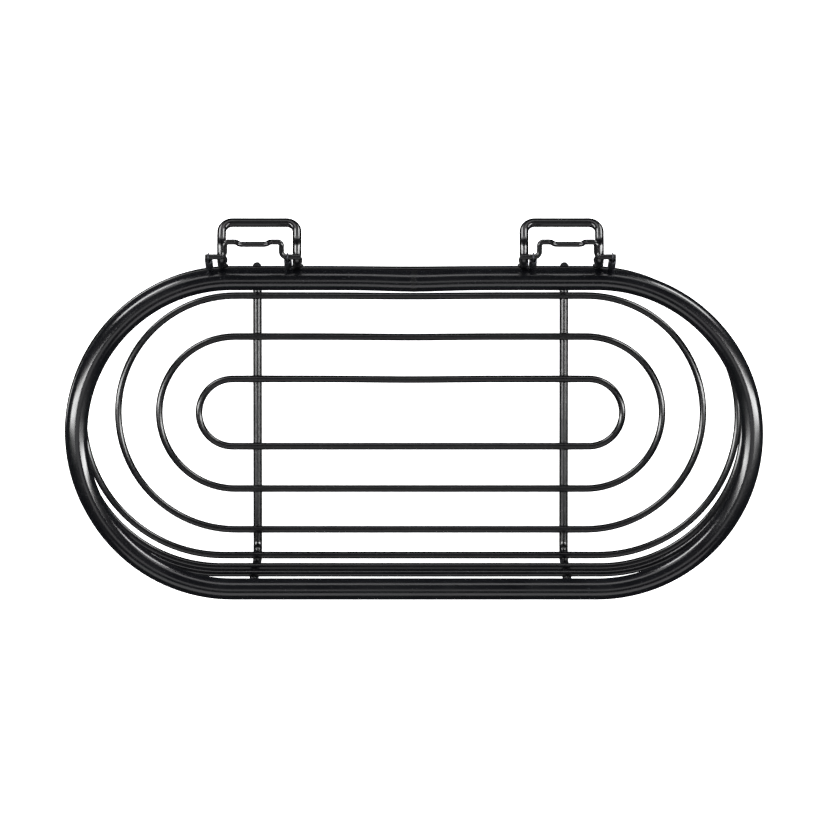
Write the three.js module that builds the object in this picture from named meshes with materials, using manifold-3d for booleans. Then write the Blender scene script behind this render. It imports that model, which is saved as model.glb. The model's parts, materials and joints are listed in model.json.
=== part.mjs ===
// Hook-on wire basket with an oval plan: a tube rim, wire rings on two U-shaped ribs, and two hangers.
// Each hanger is a bent hook over a carrier rail, with a small wire lever held down by two springs.
// Millimetres, +Z up, +X along the basket, +Y towards the hooks. The parts are laid out from the
// centre of the basket's plan at the height of the rim, then moved to the middle of the base.
import * as THREE from 'three';
import { mergeVertices } from 'three/addons/utils/BufferGeometryUtils.js';
import Module from 'manifold-3d';

// Driving dimensions
const JOIN_GAP = 0.3;            // clearance left where two wires are welded together
const RIM_TUBE = 12;             // rim tube, outer diameter
const RIM_WALL = 1;              // rim tube, wall thickness
const RIM_RADIUS = 86.3;         // end arc of the rim, to the tube's centre
const RIM_STRAIGHT = 203;        // straight sides of the rim
const RIM_SHIFT = 2.3;           // how far the rim sits to +X of the rings and ribs
const DRAIN_HOLE = 3;            // drain hole under the rim, at the middle of the back
const RING_WIRE = 4;             // ring wire diameter
const RIB_WIRE = 5;              // rib and hook wire diameter
const BASKET_DEPTH = 150;        // rim centre down to the base rings' centre
const BASE_RADII = [19.45, 43.9, 67.5];
const BASE_STRAIGHTS = [204.8, 201.7, 201.6];
const WALL_HEIGHTS = [-127, -71, -38];   // lower, middle and upper wall ring
const WALL_STRAIGHT = 214.5;
const RIB_X = 88.2;              // each rib, from the middle
const RIB_FOOT_Y = 84.5;         // rib leg at the base
const RIB_TOP_Y = 86.6;          // rib leg at the rim
const RIB_BEND = 10;             // inner corner of a rib, to the wire's centre
const HANGER_RING_RADIUS = 91;   // ring outside the ribs, just under the rim
const HANGER_RING_STRAIGHT = 200;
const HANGER_RING_Z = -16;
const HOOK_X = 83.6;             // each hook's middle, from the basket's middle
const HOOK_HALF = 20.85;         // hook legs, from the hook's middle
const HOOK_TOP = 14;             // hook arms, height over the rim's centre
const HOOK_FOOT = -24;           // lower end of the hook legs
const HOOK_DROOP_Y = 108;        // where the hook's arms turn down
const HOOK_END_Y = 118.3;        // hook's cross bar
const HOOK_DROOP_DEG = 35;
const HOOK_SHOULDER_BEND = 6;
const HOOK_DROOP_BEND = 8;
const HOOK_CORNER_BEND = 6;
const LEVER_WIRE = 3;
const LEVER_X = 86.95;           // each lever's middle, a little outside its hook's middle
const LEVER_HALF = 26.65;        // half the lever's overall width
const LEVER_U_HALF = 15.7;       // half its U, between wire centres
const LEVER_AXIS_Y = 100;        // the lever turns about its two arms
const LEVER_AXIS_Z = 18.1;
const LEVER_BAR_Y = 108.3;
const LEVER_BAR_Z = 19.4;
const FINGER_HALF = 9.3;         // finger arch in the lever's bar
const FINGER_TOP_HALF = 7.4;
const FINGER_RISE = 6.5;
const FINGER_LEAN = 0.9;         // the arch leans this far towards the rim
const LEVER_ARM_BEND = 3;         // all bends to the wire's centre
const LEVER_BAR_BEND = 2;
const FINGER_FOOT_BEND = 1.6;
const FINGER_TOP_BEND = 3;
const SPRING_COIL = 4.4;         // spring, outer diameter
const SPRING_WIRE = 0.8;
const SPRING_LENGTH = 17;        // coiled part
const SPRING_LIFT = 0.8;         // its middle, above the middle of the line from arm to ring
const SPRING_XS = [67.9, 111.7];   // inner and outer spring, from the basket's middle

const blackCoat = new THREE.MeshStandardMaterial({ color: '#1b1c1f', roughness: 0.38, metalness: 0.25 });
const springSteel = new THREE.MeshStandardMaterial({ color: '#3a3b3f', roughness: 0.35, metalness: 0.8 });

// A path through exact corner and arc points, one step from each to the next.
class WirePath extends THREE.Curve {
  constructor(points, closed = false) {
    super();
    this.points = closed ? [...points, points[0]] : points;
    this.steps = this.points.length - 1;
  }
  getPoint(t, target = new THREE.Vector3()) {
    const along = THREE.MathUtils.clamp(t, 0, 1) * this.steps;
    const i = Math.min(Math.floor(along), this.steps - 1);
    return target.copy(this.points[i]).lerp(this.points[i + 1], along - i);
  }
  getUtoTmapping(u) {
    return u;
  }
  getTangent(t, target = new THREE.Vector3()) {
    // at a point, the mean of the step before it and the step after it
    const along = t * this.steps;
    const i = Math.round(along);
    const last = this.steps;
    const closed = this.points[0].distanceTo(this.points[last]) < 1e-9;
    const before = i > 0 ? i - 1 : (closed ? last - 1 : 0);
    const after = i < last ? i + 1 : (closed ? 1 : last);
    const here = this.points[Math.min(i, last)];
    const inward = i > 0 || closed ? here.clone().sub(this.points[before]).normalize() : new THREE.Vector3();
    const outward = i < last || closed ? this.points[after].clone().sub(here).normalize() : new THREE.Vector3();
    return target.copy(inward).add(outward).normalize();
  }
}

// Points round an oval: two half circles joined by two straights, seen from above.
function ovalPath(radius, straight, z, arcSteps, centreX = 0) {
  const points = [];
  for (const side of [1, -1]) {
    for (let i = 0; i <= arcSteps; i += 1) {
      const angle = side * (-Math.PI / 2) + Math.PI * i / arcSteps;
      const x = centreX + side * straight / 2 + radius * Math.cos(angle);
      points.push(new THREE.Vector3(x, radius * Math.sin(angle), z));
    }
  }
  return new WirePath(points, true);
}

// Points along a bent wire: corners [x, y, z, bend radius], each corner turned as an arc.
function bentPath(corners, bendSteps) {
  const at = corners.map(([x, y, z]) => new THREE.Vector3(x, y, z));
  const points = [at[0]];
  for (let k = 1; k < at.length - 1; k += 1) {
    const radius = corners[k][3];
    const back = at[k - 1].clone().sub(at[k]).normalize();
    const on = at[k + 1].clone().sub(at[k]).normalize();
    const half = back.angleTo(on) / 2;
    const middle = back.clone().add(on).normalize();
    const centre = at[k].clone().addScaledVector(middle, radius / Math.sin(half));
    const start = at[k].clone().addScaledVector(back, radius / Math.tan(half)).sub(centre);
    const turn = Math.PI - 2 * half;
    const axis = on.clone().cross(back).normalize();
    for (let i = 0; i <= bendSteps; i += 1) {
      const arm = start.clone().applyAxisAngle(axis, turn * i / bendSteps);
      points.push(centre.clone().add(arm));
    }
  }
  points.push(at[at.length - 1]);
  return new WirePath(points);
}

// An open wire: a round section, drawn with its flats on the true diameter, carried along its path.
function bentWire(path, diameter, sides) {
  const corner = diameter / 2 / Math.cos(Math.PI / sides);
  const outline = [];
  for (let i = 0; i < sides; i += 1) {
    const angle = 2 * Math.PI * (i + 0.5) / sides;
    outline.push(new THREE.Vector2(corner * Math.cos(angle), corner * Math.sin(angle)));
  }
  const shape = new THREE.Shape(outline);
  return new THREE.ExtrudeGeometry(shape, { steps: path.steps, extrudePath: path, bevelEnabled: false });
}

function ringWire(path, diameter, sides) {
  return new THREE.TubeGeometry(path, path.steps, diameter / 2, sides, true);
}

const group = new THREE.Group();

function addPiece(name, geometry, material, parent = group) {
  const mesh = new THREE.Mesh(geometry, material);
  mesh.name = name;
  parent.add(mesh);
  return mesh;
}

// Rim: a round tube bent to an oval and butt welded, with a drain hole underneath
const wasm = await Module();
wasm.setup();

function solidOf(geometry) {
  const bare = geometry.clone();
  bare.deleteAttribute('normal');
  bare.deleteAttribute('uv');
  const merged = mergeVertices(bare, 1e-4);
  const vertProperties = new Float32Array(merged.attributes.position.array);
  const triVerts = new Uint32Array(merged.index.array);
  return new wasm.Manifold(new wasm.Mesh({ numProp: 3, vertProperties, triVerts }));
}

function geometryOf(solid) {
  const mesh = solid.getMesh();
  const geometry = new THREE.BufferGeometry();
  geometry.setAttribute('position', new THREE.BufferAttribute(new Float32Array(mesh.vertProperties), 3));
  geometry.setIndex(new THREE.BufferAttribute(new Uint32Array(mesh.triVerts), 1));
  geometry.computeVertexNormals();
  return geometry;
}

const rimPath = ovalPath(RIM_RADIUS, RIM_STRAIGHT, 0, 14, RIM_SHIFT);
const rimOuter = solidOf(ringWire(rimPath, RIM_TUBE, 12));
const rimBore = solidOf(ringWire(rimPath, RIM_TUBE - 2 * RIM_WALL, 12));
const drain = new THREE.CylinderGeometry(DRAIN_HOLE / 2, DRAIN_HOLE / 2, RIM_TUBE / 2, 8);
drain.rotateX(Math.PI / 2);
drain.translate(RIM_SHIFT, RIM_RADIUS, -RIM_TUBE / 2);
addPiece('rim_tube', geometryOf(rimOuter.subtract(rimBore).subtract(solidOf(drain))), blackCoat);

// Base rings, one inside the other
['inner', 'middle', 'outer'].forEach((place, i) => {
  const path = ovalPath(BASE_RADII[i], BASE_STRAIGHTS[i], -BASKET_DEPTH, 10);
  addPiece(`base_ring_${place}`, ringWire(path, RING_WIRE, 8), blackCoat);
});

// Ribs: under the base rings, up outside the wall rings, to the underside of the rim
const ribFloor = -BASKET_DEPTH - RING_WIRE / 2 - JOIN_GAP - RIB_WIRE / 2;
const ribTop = -RIM_TUBE / 2 - JOIN_GAP;
for (const side of [-1, 1]) {
  const x = side * RIB_X;
  const path = bentPath([
    [x, -RIB_TOP_Y, ribTop],
    [x, -RIB_FOOT_Y, ribFloor, RIB_BEND],
    [x, RIB_FOOT_Y, ribFloor, RIB_BEND],
    [x, RIB_TOP_Y, ribTop],
  ], 4);
  addPiece(side < 0 ? 'rib_left' : 'rib_right', bentWire(path, RIB_WIRE, 8), blackCoat);
}

// Wall rings, inside the ribs' legs, which lean out a little
function ribLegY(z) {
  return THREE.MathUtils.mapLinear(z, ribFloor, ribTop, RIB_FOOT_Y, RIB_TOP_Y);
}
['lower', 'middle', 'upper'].forEach((place, i) => {
  const z = WALL_HEIGHTS[i];
  const radius = ribLegY(z) - RIB_WIRE / 2 - JOIN_GAP - RING_WIRE / 2;
  addPiece(`wall_ring_${place}`, ringWire(ovalPath(radius, WALL_STRAIGHT, z, 12), RING_WIRE, 8), blackCoat);
});
const hangerRing = ovalPath(HANGER_RING_RADIUS, HANGER_RING_STRAIGHT, HANGER_RING_Z, 12);
addPiece('hanger_ring', ringWire(hangerRing, RING_WIRE, 8), blackCoat);

// Hangers: hook, lever and two springs on each side, mirrored about the middle
const hookLegY = HANGER_RING_RADIUS + RING_WIRE / 2 + JOIN_GAP + RIB_WIRE / 2;
const droop = Math.tan(THREE.MathUtils.degToRad(HOOK_DROOP_DEG)) * (HOOK_END_Y - HOOK_DROOP_Y);
const hookEndZ = HOOK_TOP - droop;

function hookPath(middleX) {
  const half = [
    [-HOOK_HALF, hookLegY, HOOK_FOOT, 0],
    [-HOOK_HALF, hookLegY, HOOK_TOP, HOOK_SHOULDER_BEND],
    [-HOOK_HALF, HOOK_DROOP_Y, HOOK_TOP, HOOK_DROOP_BEND],
    [-HOOK_HALF, HOOK_END_Y, hookEndZ, HOOK_CORNER_BEND],
  ];
  const other = half.map(([x, y, z, r]) => [-x, y, z, r]).reverse();
  return bentPath([...half, ...other].map(([x, y, z, r]) => [middleX + x, y, z, r]), 4);
}

function leverPath(middleX) {
  const half = [
    [-LEVER_HALF, LEVER_AXIS_Y, LEVER_AXIS_Z, 0],
    [-LEVER_U_HALF, LEVER_AXIS_Y, LEVER_AXIS_Z, LEVER_ARM_BEND],
    [-LEVER_U_HALF, LEVER_BAR_Y, LEVER_BAR_Z, LEVER_BAR_BEND],
    [-FINGER_HALF, LEVER_BAR_Y, LEVER_BAR_Z, FINGER_FOOT_BEND],
    [-FINGER_TOP_HALF, LEVER_BAR_Y - FINGER_LEAN, LEVER_BAR_Z + FINGER_RISE, FINGER_TOP_BEND],
  ];
  const other = half.map(([x, y, z, r]) => [-x, y, z, r]).reverse();
  return bentPath([...half, ...other].map(([x, y, z, r]) => [middleX + x, y, z, r]), 3);
}

// A spring lies on the line from the lever's arm to the hanger ring. Its coil is a plain round body, and
// its two end wires stop just short of the arm and the ring.
const springClear = JOIN_GAP + 0.3;

function springShape(length) {
  const top = length / 2 - LEVER_WIRE / 2 - springClear;
  const bottom = -length / 2 + RING_WIRE / 2 + springClear;
  const coilTop = SPRING_LIFT + SPRING_LENGTH / 2;
  const outline = [
    [0, bottom],
    [SPRING_WIRE / 2, bottom],
    [SPRING_WIRE / 2, coilTop - SPRING_LENGTH],
    [SPRING_COIL / 2, coilTop - SPRING_LENGTH],
    [SPRING_COIL / 2, coilTop],
    [SPRING_WIRE / 2, coilTop],
    [SPRING_WIRE / 2, top],
    [0, top],
  ].map(([r, z]) => new THREE.Vector2(r, z));
  return new THREE.LatheGeometry(outline, 12).rotateX(Math.PI / 2);
}

function addSpring(name, x) {
  const pastStraight = Math.max(0, Math.abs(x) - HANGER_RING_STRAIGHT / 2);
  const ringY = Math.sqrt(HANGER_RING_RADIUS ** 2 - pastStraight ** 2);
  const arm = new THREE.Vector3(x, LEVER_AXIS_Y, LEVER_AXIS_Z);
  const ring = new THREE.Vector3(x, ringY, HANGER_RING_Z);
  const spring = addPiece(name, springShape(arm.distanceTo(ring)), springSteel);
  spring.position.copy(arm).lerp(ring, 0.5);
  spring.rotation.x = -Math.atan2(arm.y - ring.y, arm.z - ring.z);
}

for (const side of [-1, 1]) {
  const hand = side < 0 ? 'left' : 'right';
  addPiece(`hook_${hand}`, bentWire(hookPath(side * HOOK_X), RIB_WIRE, 8), blackCoat);
  addPiece(`lever_${hand}`, bentWire(leverPath(side * LEVER_X), LEVER_WIRE, 8), blackCoat);
  SPRING_XS.forEach((x, i) => {
    addSpring(`spring_${hand}_${i === 0 ? 'inner' : 'outer'}`, side * x);
  });
}

// Origin: the middle of the whole outline, at the height of the ribs' undersides
const outline = new THREE.Box3().setFromObject(group, true);
const middle = outline.getCenter(new THREE.Vector3());
group.position.set(-middle.x, -middle.y, -outline.min.z);

export default group;
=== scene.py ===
# Oval hook-on wire basket in black powder coat: wire rings on two ribs, a tube rim, two sprung hangers.
# Metres, +Z up, +X along the basket, +Y towards its hooks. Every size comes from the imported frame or
# from the section that uses it.
import json

import bpy
import numpy as np
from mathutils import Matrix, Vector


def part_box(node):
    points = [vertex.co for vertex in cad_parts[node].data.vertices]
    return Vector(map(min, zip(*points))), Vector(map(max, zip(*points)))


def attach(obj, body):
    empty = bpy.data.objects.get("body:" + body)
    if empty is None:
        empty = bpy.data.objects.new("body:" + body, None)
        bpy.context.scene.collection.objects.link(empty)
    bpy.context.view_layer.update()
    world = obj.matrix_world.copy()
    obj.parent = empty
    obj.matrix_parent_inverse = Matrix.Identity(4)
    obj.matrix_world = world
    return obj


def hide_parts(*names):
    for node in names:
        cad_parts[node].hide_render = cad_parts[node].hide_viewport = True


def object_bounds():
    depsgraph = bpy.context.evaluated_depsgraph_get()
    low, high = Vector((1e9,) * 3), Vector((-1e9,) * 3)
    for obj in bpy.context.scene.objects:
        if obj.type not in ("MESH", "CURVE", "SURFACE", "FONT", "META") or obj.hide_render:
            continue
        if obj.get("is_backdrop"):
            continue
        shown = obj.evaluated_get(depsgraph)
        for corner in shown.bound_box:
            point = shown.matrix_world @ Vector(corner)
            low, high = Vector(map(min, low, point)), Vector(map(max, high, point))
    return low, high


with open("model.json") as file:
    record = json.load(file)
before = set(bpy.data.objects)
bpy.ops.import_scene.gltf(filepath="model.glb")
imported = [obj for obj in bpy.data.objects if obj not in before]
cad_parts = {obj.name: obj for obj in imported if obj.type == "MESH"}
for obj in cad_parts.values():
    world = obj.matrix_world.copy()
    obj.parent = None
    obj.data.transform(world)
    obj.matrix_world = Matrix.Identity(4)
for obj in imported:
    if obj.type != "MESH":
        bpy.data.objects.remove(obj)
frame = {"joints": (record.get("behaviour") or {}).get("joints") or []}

cad_low, cad_high = [list(corner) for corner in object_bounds()]
MM = 0.001


# ---- Camera: a long lens almost straight above, leaning 4.7 degrees towards the hooks, as a studio
# shot of a flat-laid product is taken.
rim_low, rim_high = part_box("rim_tube")
rim_middle = (np.array(rim_low) + np.array(rim_high)) / 2
CAMERA_DISTANCE = 4.17
CAMERA_LEAN = np.radians(4.68)
CAMERA_LENS = 325.5
AIM_FROM_RIM = np.array([0.2, 10.9, 0]) * MM
aim = rim_middle + AIM_FROM_RIM
lean = np.array([0, np.sin(CAMERA_LEAN), np.cos(CAMERA_LEAN)])
camera_data = bpy.data.cameras.new("camera")
camera_data.lens = CAMERA_LENS
camera_data.sensor_width = 36
camera = bpy.data.objects.new("camera", camera_data)
camera.location = aim + CAMERA_DISTANCE * lean
camera.rotation_euler = (-CAMERA_LEAN, 0, 0)
bpy.context.scene.collection.objects.link(camera)
bpy.context.scene.camera = camera
bpy.context.scene.view_settings.view_transform = "Standard"


# ---- Floor: matt white board. It glows a little, as a board lit from behind does, which keeps the
# shadows of the wires faint, and it is kept out of the wires' reflections.
def linear(hex_colour):
    """An sRGB hex colour as linear red, green and blue."""
    srgb = np.array([int(hex_colour[i:i + 2], 16) for i in (1, 3, 5)]) / 255
    return np.where(srgb <= 0.04045, srgb / 12.92, ((srgb + 0.055) / 1.055) ** 2.4)


def rgba(hex_colour):
    return (*linear(hex_colour), 1.0)


def add_node(tree, kind, settings=None, **links):
    """One shader node, with its attributes set and its sockets set to values or linked to sockets."""
    node = tree.nodes.new(kind)
    for name, value in (settings or {}).items():
        setattr(node, name, value)
    for name, value in links.items():
        socket = node.inputs[name.replace("_", " ")]
        if isinstance(value, bpy.types.NodeSocket):
            tree.links.new(value, socket)
        else:
            socket.default_value = value
    return node


board = bpy.data.materials.new("white_board")
board.use_nodes = True
board_shader = board.node_tree.nodes["Principled BSDF"]
board_shader.inputs["Base Color"].default_value = rgba("#f4f4f4")
board_shader.inputs["Roughness"].default_value = 0.9
board_shader.inputs["Emission Color"].default_value = rgba("#ffffff")
board_shader.inputs["Emission Strength"].default_value = 0.95
FLOOR_HALF = 6.0
FLOOR_GAP = 0.5 * MM
floor_mesh = bpy.data.meshes.new("floor")
corners = [(-FLOOR_HALF, -FLOOR_HALF, 0), (FLOOR_HALF, -FLOOR_HALF, 0),
           (FLOOR_HALF, FLOOR_HALF, 0), (-FLOOR_HALF, FLOOR_HALF, 0)]
floor_mesh.from_pydata(corners, [], [(0, 1, 2, 3)])
floor_mesh.materials.append(board)
floor = bpy.data.objects.new("floor", floor_mesh)
floor.location.z = cad_low[2] - FLOOR_GAP
bpy.context.scene.collection.objects.link(floor)
floor.visible_glossy = False
floor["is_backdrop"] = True


# ---- Lights: a soft box to the left and one to the right, which draw the bright lines down the hooks,
# a weak one overhead for the dull band along each wire, others in front, behind and low at the
# back corners, and a very dim sky.
def soft_box(name, place, target, width, height, watts):
    data = bpy.data.lights.new(name, "AREA")
    data.shape = "RECTANGLE"
    data.size = width
    data.size_y = height
    data.energy = watts
    lamp = bpy.data.objects.new(name, data)
    lamp.location = place
    direction = np.array(target) - np.array(place)
    pitch = np.arctan2(np.hypot(direction[0], direction[1]), -direction[2])
    turn = np.arctan2(-direction[0], direction[1])
    lamp.rotation_euler = (pitch, 0, turn)
    bpy.context.scene.collection.objects.link(lamp)


soft_box("top_soft_box", (0, -0.8, 5.0), (0, 0, 0.1), 2.4, 1.3, 10)
soft_box("left_soft_box", (-1.5, 0.1, 1.35), (0, 0, 0.1), 0.35, 1.9, 40)
soft_box("right_soft_box", (1.5, 0.1, 1.35), (0, 0, 0.1), 0.35, 1.9, 40)
soft_box("front_soft_box", (0, -1.7, 1.3), (0, 0, 0.1), 3.0, 1.0, 12)
soft_box("back_soft_box", (0, 1.9, 1.3), (0, 0, 0.1), 3.0, 0.6, 13)
soft_box("back_left_soft_box", (-1.25, 1.6, 0.42), (0, 0, 0.1), 0.9, 0.6, 22)
soft_box("back_right_soft_box", (1.25, 1.6, 0.42), (0, 0, 0.1), 0.9, 0.6, 22)
sky = bpy.data.worlds.new("sky")
sky.use_nodes = True
sky.node_tree.nodes["Background"].inputs["Color"].default_value = rgba("#dfe3ea")
sky.node_tree.nodes["Background"].inputs["Strength"].default_value = 0.05
bpy.context.scene.world = sky


# ---- Base rings: 4 mm mild steel wire bent to ovals, butt welded at the middle of the back, lying
# flat on the ribs one inside another, then powder coated black with the rest.
WELD_KINK = 0.35 * MM      # a ring's back dips this much towards the front where its ends meet
KINK_LENGTH = 30 * MM
ARC_STEP = np.radians(3)


def oval_path(radius, straight, middle, kink, kink_length=KINK_LENGTH):
    """Points round an oval, anticlockwise from its front right: an arc of a circle at each end, and
    straights between, with the back straight pushed in by a bell curve where the wire is welded."""
    turns = int(round(np.pi / ARC_STEP))
    arc = np.linspace(-np.pi / 2, np.pi / 2, turns + 1)
    right = np.column_stack([straight / 2 + radius * np.cos(arc), radius * np.sin(arc)])
    left = -right
    along = np.linspace(1, -1, 49)[1:-1] * straight / 2
    bell = np.exp(-(along / kink_length) ** 2)
    back = np.column_stack([along, radius - kink * bell])
    flat = np.vstack([right, back, left])
    points = np.column_stack([flat, np.zeros(len(flat))])
    return points + np.array(middle)


def path_frames(points, closed):
    """Unit tangents, and two unit normals carried along the path without twisting: each normal is the
    one before it with its part along the new tangent taken away."""
    if closed:
        tangents = np.roll(points, -1, 0) - np.roll(points, 1, 0)
    else:
        tangents = np.gradient(points, axis=0)
    tangents /= np.linalg.norm(tangents, axis=1, keepdims=True)
    normals = np.zeros_like(points)
    start = np.eye(3)[np.argmin(np.abs(tangents[0]))]
    for i, tangent in enumerate(tangents):
        start = start - tangent * (start @ tangent)
        start = start / np.linalg.norm(start)
        normals[i] = start
    return tangents, normals, np.cross(tangents, normals)


def new_piece(name, vertices, faces, material, body, slot):
    """A smooth-shaded mesh object at the origin, riding on a body."""
    mesh = bpy.data.meshes.new(name)
    mesh.from_pydata(vertices.tolist(), [], faces)
    mesh.polygons.foreach_set("use_smooth", np.ones(len(mesh.polygons), bool))
    mesh.materials.append(material)
    mesh.update()
    piece = bpy.data.objects.new(name, mesh)
    bpy.context.scene.collection.objects.link(piece)
    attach(piece, body)
    return piece


def grid_faces(rows, columns, closed):
    """Quads between neighbouring rows of a grid whose columns run round."""
    i = np.arange(rows if closed else rows - 1)[:, None]
    j = np.arange(columns)[None, :]
    here = i * columns + j
    beside = i * columns + (j + 1) % columns
    above = (i + 1) % rows * columns + j
    above_beside = (i + 1) % rows * columns + (j + 1) % columns
    return np.stack([here, beside, above_beside, above], -1).reshape(-1, 4).tolist()


def wire(points, diameter, closed, sides=24, end_round=0.35):
    """A circle of the wire's diameter at every point of the path, square to it. An open wire's ends
    are sheared flat with a rounded edge: three rings that close in, then a middle point."""
    tangents, normals, sides_of = path_frames(points, closed)
    radii = np.full(len(points), diameter / 2)
    if not closed:
        edge = end_round * diameter / 2
        closing = np.radians([90, 60, 30, 0])
        end_radii = diameter / 2 - edge + edge * np.cos(closing)
        depth = (edge - edge * np.sin(closing))[:, None]
        first = points[0] + depth * tangents[0]
        last = (points[-1] - depth * tangents[-1])[::-1]
        points = np.vstack([first, points[1:-1], last])
        radii = np.concatenate([end_radii, radii[1:-1], end_radii[::-1]])
        times = np.ones(len(normals), int)
        times[[0, -1]] = len(closing)
        normals = normals.repeat(times, 0)
        sides_of = sides_of.repeat(times, 0)
    round_angle = np.linspace(0, 2 * np.pi, sides, endpoint=False)
    across = normals[:, None] * np.cos(round_angle)[:, None]
    circle = across + sides_of[:, None] * np.sin(round_angle)[:, None]
    vertices = (points[:, None] + radii[:, None, None] * circle).reshape(-1, 3)
    faces = grid_faces(len(points), sides, closed)
    if not closed:
        count = len(vertices)
        vertices = np.vstack([vertices, points[0], points[-1]])
        j = np.arange(sides)
        next_j = (j + 1) % sides
        top = count - sides
        faces += np.stack([np.full(sides, count), next_j, j], -1).tolist()
        faces += np.stack([np.full(sides, count + 1), top + j, top + next_j], -1).tolist()
    return vertices, faces


def powder_coat(name, colour, pale, roughness):
    """Polyester powder coat baked on steel: near black, semi-gloss, with the slight dimples of orange
    peel, small changes of gloss from place to place, and a few specks of paler dust."""
    material = bpy.data.materials.new(name)
    material.use_nodes = True
    tree = material.node_tree
    shader = tree.nodes["Principled BSDF"]
    place = add_node(tree, "ShaderNodeTexCoord").outputs["Object"]
    # patches about 25 mm across, where the coat is thicker or thinner
    patches = add_node(tree, "ShaderNodeTexNoise", Vector=place, Scale=1 / 0.025, Detail=3.0)
    # specks under a millimetre, drawn at 0.9 mm so that they show
    specks = add_node(tree, "ShaderNodeTexNoise", Vector=place, Scale=1 / 0.0009, Detail=1.0)
    speck_mask = add_node(tree, "ShaderNodeValToRGB", Fac=specks.outputs["Fac"])
    speck_mask.color_ramp.elements[0].position = 0.66
    speck_mask.color_ramp.elements[1].position = 0.78
    tone = add_node(tree, "ShaderNodeMix", {"data_type": "RGBA"})
    tree.links.new(patches.outputs["Fac"], tone.inputs[0])
    tone.inputs[6].default_value = rgba(colour)
    tone.inputs[7].default_value = rgba(pale)
    dusted = add_node(tree, "ShaderNodeMix", {"data_type": "RGBA"})
    tree.links.new(speck_mask.outputs["Color"], dusted.inputs[0])
    tree.links.new(tone.outputs[2], dusted.inputs[6])
    dusted.inputs[7].default_value = rgba("#26272a")
    tree.links.new(dusted.outputs[2], shader.inputs["Base Color"])
    gloss = add_node(tree, "ShaderNodeMapRange", Value=patches.outputs["Fac"],
                     From_Min=0.3, From_Max=0.7, To_Min=roughness - 0.04, To_Max=roughness + 0.05)
    tree.links.new(gloss.outputs["Result"], shader.inputs["Roughness"])
    # orange peel: dimples about 1.4 mm apart and a few thousandths deep
    peel = add_node(tree, "ShaderNodeTexNoise", Vector=place, Scale=1 / 0.0014, Detail=2.0)
    bump = add_node(tree, "ShaderNodeBump", Height=peel.outputs["Fac"], Strength=0.2, Distance=0.00003)
    tree.links.new(bump.outputs["Normal"], shader.inputs["Normal"])
    shader.inputs["IOR"].default_value = 1.58
    return material


wire_coat = powder_coat("black_powder_coat_wire", "#030304", "#08080a", 0.2)
BASE_RINGS = ("inner", "middle", "outer")
rings = {}


def ring_sizes(node):
    """Middle, end radius, straight and wire diameter of an oval ring, all from its box."""
    low, high = (np.array(corner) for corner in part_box(node))
    diameter = high[2] - low[2]
    width = high[1] - low[1]
    return (low + high) / 2, width / 2 - diameter / 2, (high[0] - low[0]) - width, diameter


for place in BASE_RINGS:
    node = f"base_ring_{place}"
    middle, radius, straight, diameter = ring_sizes(node)
    rings[node] = (middle, radius, straight, diameter)
    path = oval_path(radius, straight, middle, WELD_KINK)
    piece = new_piece(f"{node}_wire", *wire(path, diameter, True), wire_coat, "basket", "black_powder_coat")
    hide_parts(node)


# ---- Ribs: two 5 mm wires, each bent to a U that runs under the base rings and up outside the wall
# rings to the rim. Every crossing is a resistance weld: the wires are pressed together hot, and a
# small smooth swelling is left between them.
RIB_FOOT_INSET = 2.1 * MM      # a leg leans in by this much from the rim down to the base
RIB_CORNER = 10 * MM
BASE_BEAD = (2.3 * MM, 1.9 * MM, 0.9 * MM)


def bent_path(corners, bend_radii, step=0.35 * MM):
    """Points along a bent wire: straights between the corners, and at each corner an arc that touches
    both straights. Straights get a point every few millimetres."""
    corners = np.array(corners, float)
    parts = [corners[:1]]
    for k, radius in enumerate(bend_radii, start=1):
        back = corners[k - 1] - corners[k]
        on = corners[k + 1] - corners[k]
        back /= np.linalg.norm(back)
        on /= np.linalg.norm(on)
        half = np.arccos(np.clip(back @ on, -1, 1)) / 2
        middle = (back + on) / np.linalg.norm(back + on)
        centre = corners[k] + middle * radius / np.sin(half)
        start = corners[k] + back * radius / np.tan(half) - centre
        turn = np.pi - 2 * half
        angles = np.linspace(0, turn, max(4, int(radius * turn / step)))[:, None]
        parts.append(centre + start * np.cos(angles) - back * radius * np.sin(angles))
    parts.append(corners[-1:])
    points = np.vstack(parts)
    gaps = np.linalg.norm(np.diff(points, axis=0), axis=1)
    pieces = np.maximum(1, np.ceil(gaps / (4 * MM)).astype(int))
    along = np.concatenate([i + np.arange(n) / n for i, n in enumerate(pieces)] + [[len(gaps)]])
    index = np.arange(len(points))
    return np.column_stack([np.interp(along, index, points[:, axis]) for axis in range(3)])


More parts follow.
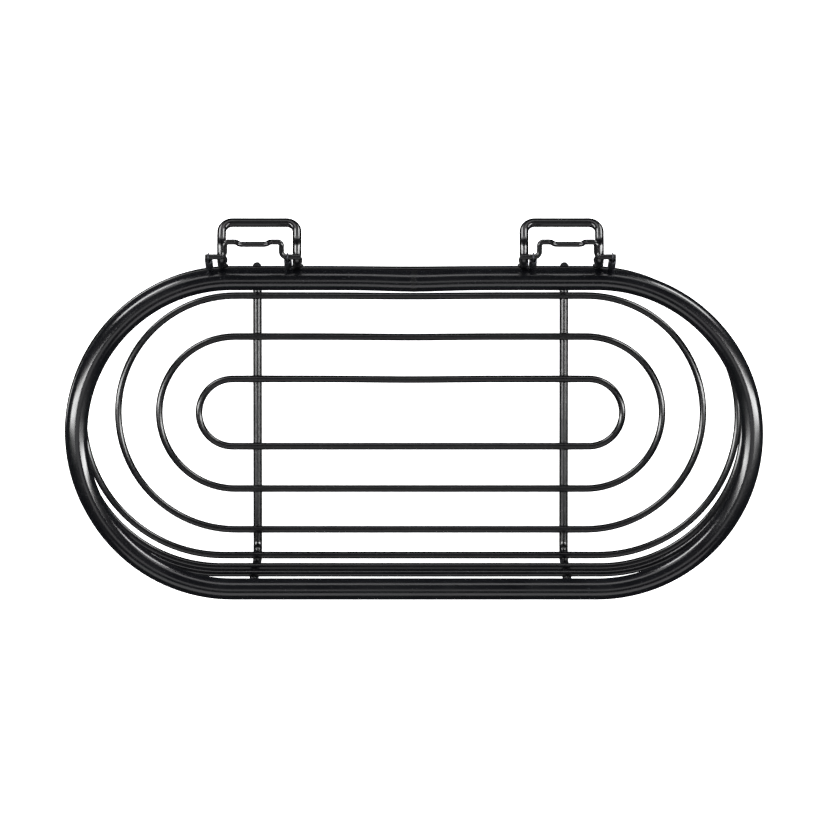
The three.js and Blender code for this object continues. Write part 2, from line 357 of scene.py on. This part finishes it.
def beads(name, places, size, material, body):
    """Weld beads: at each place a rounded lump, which is a ball stretched to its three half sizes and
    pushed in and out a little by two waves, in one mesh."""
    polar = np.linspace(0, np.pi, 9)[1:-1]
    turn = np.linspace(0, 2 * np.pi, 14, endpoint=False)
    p, t = np.meshgrid(polar, turn, indexing="ij")
    ball = np.stack([np.sin(p) * np.cos(t), np.sin(p) * np.sin(t), np.cos(p)], -1).reshape(-1, 3)
    ball = np.vstack([ball, [0, 0, 1], [0, 0, -1]])
    quads = grid_faces(len(polar), len(turn), False)
    j = np.arange(len(turn))
    next_j = (j + 1) % len(turn)
    count = len(polar) * len(turn)
    last = count - len(turn)
    caps = np.stack([np.full(len(turn), count), j, next_j], -1).tolist()
    caps += np.stack([np.full(len(turn), count + 1), last + next_j, last + j], -1).tolist()
    faces = [face[::-1] for face in quads] + caps
    vertices, all_faces = [], []
    for k, place in enumerate(places):
        wave = 1 + 0.05 * np.sin(3 * ball[:, 0] * 2 + k) + 0.05 * np.cos(4 * ball[:, 1] + 2 * k)
        vertices.append(np.array(place) + ball * np.array(size) * wave[:, None])
        all_faces += [[v + k * len(ball) for v in face] for face in faces]
    return new_piece(name, np.vstack(vertices), all_faces, material, body, "black_powder_coat")


weld_coat = powder_coat("black_powder_coat_over_weld", "#040404", "#0a0a0c", 0.27)
ribs = {}
for side in ("left", "right"):
    node = f"rib_{side}"
    low, high = (np.array(corner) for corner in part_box(node))
    diameter = high[0] - low[0]
    x = (low[0] + high[0]) / 2
    top_y = (high[1] - low[1] - diameter) / 2
    middle_y = (low[1] + high[1]) / 2
    foot_y = top_y - RIB_FOOT_INSET
    foot_z = low[2] + diameter / 2
    ribs[side] = (x, middle_y, foot_y, top_y, foot_z, high[2], diameter)
    path = bent_path([(x, middle_y - top_y, high[2]), (x, middle_y - foot_y, foot_z),
                      (x, middle_y + foot_y, foot_z), (x, middle_y + top_y, high[2])],
                     [RIB_CORNER, RIB_CORNER])
    piece = new_piece(f"{node}_wire", *wire(path, diameter, False), wire_coat, "basket", "black_powder_coat")
    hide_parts(node)
    crossings = [(x, rings[f"base_ring_{place}"][0][1] + sign * rings[f"base_ring_{place}"][1],
                  foot_z + diameter / 2 + 0.1 * MM)
                 for place in BASE_RINGS for sign in (-1, 1)]
    beads(f"base_welds_{side}", crossings, BASE_BEAD, weld_coat, "basket")


# ---- Wall rings: three more 4 mm ovals, welded to the inside of the ribs' legs. The lowest sits just
# above the base, the others closer to the rim.
WALL_BEAD = (2.2 * MM, 0.9 * MM, 1.9 * MM)


def leg_y(rib, z):
    """How far a rib's leg is from the basket's middle plane at a height."""
    x, middle_y, foot_y, top_y, foot_z, top_z, diameter = rib
    return foot_y + (top_y - foot_y) * (z - foot_z) / (top_z - foot_z)


for place in ("lower", "middle", "upper"):
    node = f"wall_ring_{place}"
    middle, radius, straight, diameter = ring_sizes(node)
    path = oval_path(radius, straight, middle, WELD_KINK)
    piece = new_piece(f"{node}_wire", *wire(path, diameter, True), wire_coat, "basket", "black_powder_coat")
    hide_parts(node)
    touching = [(rib[0], rib[1] + sign * (leg_y(rib, middle[2]) - rib[6] / 2), middle[2])
                for rib in ribs.values() for sign in (-1, 1)]
    beads(f"{node}_welds", touching, WALL_BEAD, weld_coat, "basket")


# ---- Rim: 12 mm steel tube with a 1 mm wall, bent to an oval and butt welded at the middle of the
# back, where it dips slightly and the ground weld leaves a faint band. The ribs end under it.
RIM_DIP = 0.8 * MM
RIM_DIP_LENGTH = 22 * MM
RIM_WELD_SHIFT = -0.5 * MM
RIM_WELD_HALF = 2.2 * MM
RIM_WELD_RISE = 0.12 * MM
RIM_BEAD = (3.1 * MM, 3.1 * MM, 1.0 * MM)
rim_coat = powder_coat("black_powder_coat_rim", "#030305", "#090a0d", 0.2)
middle, radius, straight, diameter = ring_sizes("rim_tube")
path = oval_path(radius, straight, middle, RIM_DIP, RIM_DIP_LENGTH)
piece = new_piece("rim_tube_bent", *wire(path, diameter, True, sides=48), rim_coat, "basket",
                  "black_powder_coat")
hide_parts("rim_tube")


def weld_band(name, centre, tube_radius, half_length, rise, material):
    """A ground butt weld round a tube that runs along X: a sleeve whose radius rises from just under
    the tube's surface to a low crown, with fine ripples round it."""
    along = np.linspace(-1, 1, 13)
    round_angle = np.linspace(0, 2 * np.pi, 48, endpoint=False)
    a, r = np.meshgrid(along, round_angle, indexing="ij")
    crown = rise * (1 - a ** 2) - 0.05 * MM + 0.02 * MM * np.sin(9 * r)
    size = tube_radius + crown
    grid = np.stack([a * half_length, size * np.cos(r), size * np.sin(r)], -1).reshape(-1, 3)
    faces = grid_faces(len(along), len(round_angle), False)
    inner = np.stack([a * half_length, (tube_radius - 0.4 * MM) * np.cos(r),
                      (tube_radius - 0.4 * MM) * np.sin(r)], -1).reshape(-1, 3)
    count = len(grid)
    columns = len(round_angle)
    j = np.arange(columns)
    next_j = (j + 1) % columns
    last = count - columns
    faces += [[v + count for v in face[::-1]] for face in grid_faces(len(along), columns, False)]
    faces += np.stack([j + count, next_j + count, next_j, j], -1).tolist()
    faces += np.stack([last + j, last + next_j, last + next_j + count, last + j + count], -1).tolist()
    return new_piece(name, np.vstack([grid, inner]) + np.array(centre), faces, material, "basket",
                     "black_powder_coat")


weld_band("rim_butt_weld", middle + np.array([RIM_WELD_SHIFT, radius - RIM_DIP, 0]), diameter / 2,
          RIM_WELD_HALF, RIM_WELD_RISE, weld_coat)
rib_tops = [(rib[0], rib[1] + sign * rib[3], rib[5] + 0.1 * MM) for rib in ribs.values() for sign in (-1, 1)]
beads("rim_welds", rib_tops, RIM_BEAD, weld_coat, "basket")


# ---- Hanger ring: one more 4 mm oval, outside the ribs and just under the rim. The hooks are welded
# to its back and the springs pull against it.
middle, radius, straight, diameter = ring_sizes("hanger_ring")
hanger = (middle, radius, straight, diameter)
path = oval_path(radius, straight, middle, WELD_KINK)
piece = new_piece("hanger_ring_wire", *wire(path, diameter, True), wire_coat, "basket", "black_powder_coat")
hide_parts("hanger_ring")
touching = [(rib[0], middle[1] + sign * (radius - diameter / 2), middle[2])
            for rib in ribs.values() for sign in (-1, 1)]
beads("hanger_ring_welds", touching, WALL_BEAD, weld_coat, "basket")


# ---- Hooks: 5 mm wire bent to a square-cornered U. Each leg goes down behind the rim and is welded to
# the hanger ring; over the carrier's rail the arms run level and then turn down to the cross bar.
HOOK_SHOULDER = 6 * MM
HOOK_DROOP_BEND = 8 * MM
HOOK_CORNER = 6 * MM
HOOK_DROOP_START = 10.3 * MM     # the arms turn down this far before the cross bar
HOOK_DROOP = np.radians(35)
HOOK_REACH = 118.3 * MM         # the cross bar, from the basket's middle plane
HOOK_WELD_GAP = 0.3 * MM
HOOK_BEAD = (3.0 * MM, 1.5 * MM, 2.6 * MM)
hook_coat = powder_coat("black_powder_coat_hook", "#030304", "#08080a", 0.19)
hook_wire = ribs["left"][6]
for side in ("left", "right"):
    node = f"hook_{side}"
    low, high = (np.array(corner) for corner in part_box(node))
    leg_radius = hook_wire / 2
    leg_x = (low[0] + leg_radius, high[0] - leg_radius)
    back_y = hanger[0][1] + hanger[1] + hanger[3] / 2 + HOOK_WELD_GAP + leg_radius
    top_z = high[2] - leg_radius
    end_y = ribs["left"][1] + HOOK_REACH
    bar_z = top_z - HOOK_DROOP_START * np.tan(HOOK_DROOP)
    half = [(leg_x[0], back_y, low[2]), (leg_x[0], back_y, top_z),
            (leg_x[0], end_y - HOOK_DROOP_START, top_z), (leg_x[0], end_y, bar_z)]
    other = [(leg_x[1], y, z) for x, y, z in half[::-1]]
    bends = [HOOK_SHOULDER, HOOK_DROOP_BEND, HOOK_CORNER]
    path = bent_path(half + other, bends + bends[::-1])
    piece = new_piece(f"{node}_wire", *wire(path, hook_wire, False), hook_coat, "basket", "black_powder_coat")
    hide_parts(node)
    touching = [(x, back_y - leg_radius, hanger[0][2]) for x in leg_x]
    beads(f"{node}_welds", touching, HOOK_BEAD, weld_coat, "basket")


# ---- Levers: 3 mm wire with two straight arms, a U between them and a small arch in the U's bar for a
# fingertip. Each lies on its hook's shoulders and turns about its arms.
LEVER_ARM_BEND = 3 * MM
LEVER_CORNER = 2 * MM
FINGER_FOOT_BEND = 1.6 * MM
FINGER_TOP_BEND = 3 * MM
LEVER_WIRE = 3 * MM
LEVER_U_HALF = 15.7 * MM
FINGER_HALF = 9.3 * MM
FINGER_TOP_HALF = 7.4 * MM
lever_coat = powder_coat("black_powder_coat_lever", "#030304", "#08080a", 0.21)
hinges = {joint["name"]: joint for joint in frame["joints"]}
LEVER_BAR = np.array([8.3, 1.3]) * MM        # the bar from the arms' axis, back and up
FINGER_ARCH = np.array([-0.9, 6.49]) * MM    # the top of the arch from the bar
for side in ("left", "right"):
    node = f"lever_{side}"
    low, high = (np.array(corner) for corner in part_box(node))
    hinge = np.array(hinges[f"{side}_lever_swing"]["pos_m"])
    half_width = (high[0] - low[0]) / 2
    bar = hinge[1:] + LEVER_BAR
    arch = bar + FINGER_ARCH
    half = [(-half_width, *hinge[1:]), (-LEVER_U_HALF, *hinge[1:]), (-LEVER_U_HALF, *bar),
            (-FINGER_HALF, *bar), (-FINGER_TOP_HALF, *arch)]
    other = [(-x, y, z) for x, y, z in half[::-1]]
    points = [(hinge[0] + x, y, z) for x, y, z in half + other]
    bends = [LEVER_ARM_BEND, LEVER_CORNER, FINGER_FOOT_BEND, FINGER_TOP_BEND]
    path = bent_path(points, bends + bends[::-1], step=0.25 * MM)
    piece = new_piece(f"{node}_wire", *wire(path, LEVER_WIRE, False), lever_coat, f"{side}_lever",
                      "black_powder_coat")
    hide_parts(node)


# ---- Springs: 0.8 mm spring steel, close wound. The upper end is hooked over a lever's arm and the
# lower end round the hanger ring, so each pulls its lever down on the hook.
SPRING_WIRE = 0.8 * MM
COIL_LENGTH = 17 * MM
COIL_LIFT = 0.8 * MM         # its middle, above the middle of the line from arm to ring
STEPS_PER_TURN = 20
LOOP_CLEARANCE = 0.15 * MM


def spring_steel(name):
    """Hard-drawn spring wire, dark with oil: metal, fairly smooth."""
    material = bpy.data.materials.new(name)
    material.use_nodes = True
    tree = material.node_tree
    shader = tree.nodes["Principled BSDF"]
    shader.inputs["Metallic"].default_value = 0.85
    place = add_node(tree, "ShaderNodeTexCoord").outputs["Object"]
    # oil film in patches about 3 mm across
    film = add_node(tree, "ShaderNodeTexNoise", Vector=place, Scale=1 / 0.003, Detail=3.0)
    tone = add_node(tree, "ShaderNodeMix", {"data_type": "RGBA"})
    tree.links.new(film.outputs["Fac"], tone.inputs[0])
    tone.inputs[6].default_value = rgba("#2b2c30")
    tone.inputs[7].default_value = rgba("#55575c")
    tree.links.new(tone.outputs[2], shader.inputs["Base Color"])
    gloss = add_node(tree, "ShaderNodeMapRange", Value=film.outputs["Fac"], To_Min=0.25, To_Max=0.42)
    tree.links.new(gloss.outputs["Result"], shader.inputs["Roughness"])
    return material


def spring_path(x, coil_radius, arm, arm_radius, ring, ring_radius):
    """An upper hook round the lever's arm, a helix about the line from the arm to the ring, and a lower
    hook round the ring, as one path. Arm and ring are points in the plane across the spring."""
    axis = (arm - ring) / np.linalg.norm(arm - ring)
    across = np.array([axis[1], -axis[0]])
    middle = (arm + ring) / 2 + axis * COIL_LIFT
    turns = COIL_LENGTH / (SPRING_WIRE * 1.02)
    t = np.linspace(0, 1, int(turns * STEPS_PER_TURN))[:, None]
    angle = 2 * np.pi * turns * (1 - t) - np.pi / 2
    plane = middle + axis * COIL_LENGTH * (0.5 - t) + across * coil_radius * np.sin(angle)
    coil = np.hstack([x + coil_radius * np.cos(angle), plane])
    tilt = np.arctan2(axis[1], axis[0])

    def hook(centre, radius, start, end):
        turn = np.radians(np.linspace(start, end, 26))[:, None] + tilt
        reach = radius + SPRING_WIRE / 2 + LOOP_CLEARANCE
        return np.hstack([np.full_like(turn, x), centre[0] + reach * np.cos(turn),
                          centre[1] + reach * np.sin(turn)])

    top_hook = hook(arm, arm_radius, -130, 110)
    bottom_hook = hook(ring, ring_radius, -70, -310)

    def joined(start, start_way, end, end_way, count=10):
        """A smooth Hermite curve from one stretch to the next, leaving and meeting each along its way."""
        s = np.linspace(0, 1, count + 2)[1:-1, None]
        reach = np.linalg.norm(end - start)
        return ((2 * s**3 - 3 * s**2 + 1) * start + (s**3 - 2 * s**2 + s) * reach * start_way
                + (3 * s**2 - 2 * s**3) * end + (s**3 - s**2) * reach * end_way)

    def way(a, b):
        return (b - a) / np.linalg.norm(b - a)

    first = joined(top_hook[-1], way(top_hook[-2], top_hook[-1]), coil[0], way(coil[0], coil[1]))
    second = joined(coil[-1], way(coil[-2], coil[-1]), bottom_hook[0], way(bottom_hook[0], bottom_hook[1]))
    return np.vstack([top_hook, first, coil, second, bottom_hook])


spring_metal = spring_steel("oiled_spring_steel")
for side in ("left", "right"):
    hinge = np.array(hinges[f"{side}_lever_swing"]["pos_m"])
    for place in ("inner", "outer"):
        node = f"spring_{side}_{place}"
        low, high = (np.array(corner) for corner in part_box(node))
        x = (low[0] + high[0]) / 2
        coil_radius = (high[0] - low[0]) / 2 - SPRING_WIRE / 2
        past_straight = max(0, abs(x - hanger[0][0]) - hanger[2] / 2)
        ring_y = hanger[0][1] + np.sqrt(hanger[1] ** 2 - past_straight ** 2)
        path = spring_path(x, coil_radius, hinge[1:], LEVER_WIRE / 2,
                           np.array([ring_y, hanger[0][2]]), hanger[3] / 2)
        piece = new_piece(f"{node}_coil", *wire(path, SPRING_WIRE, False, sides=10), spring_metal,
                          "basket", "spring_steel")
        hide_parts(node)


# ---- Size of the finished model
low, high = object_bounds()
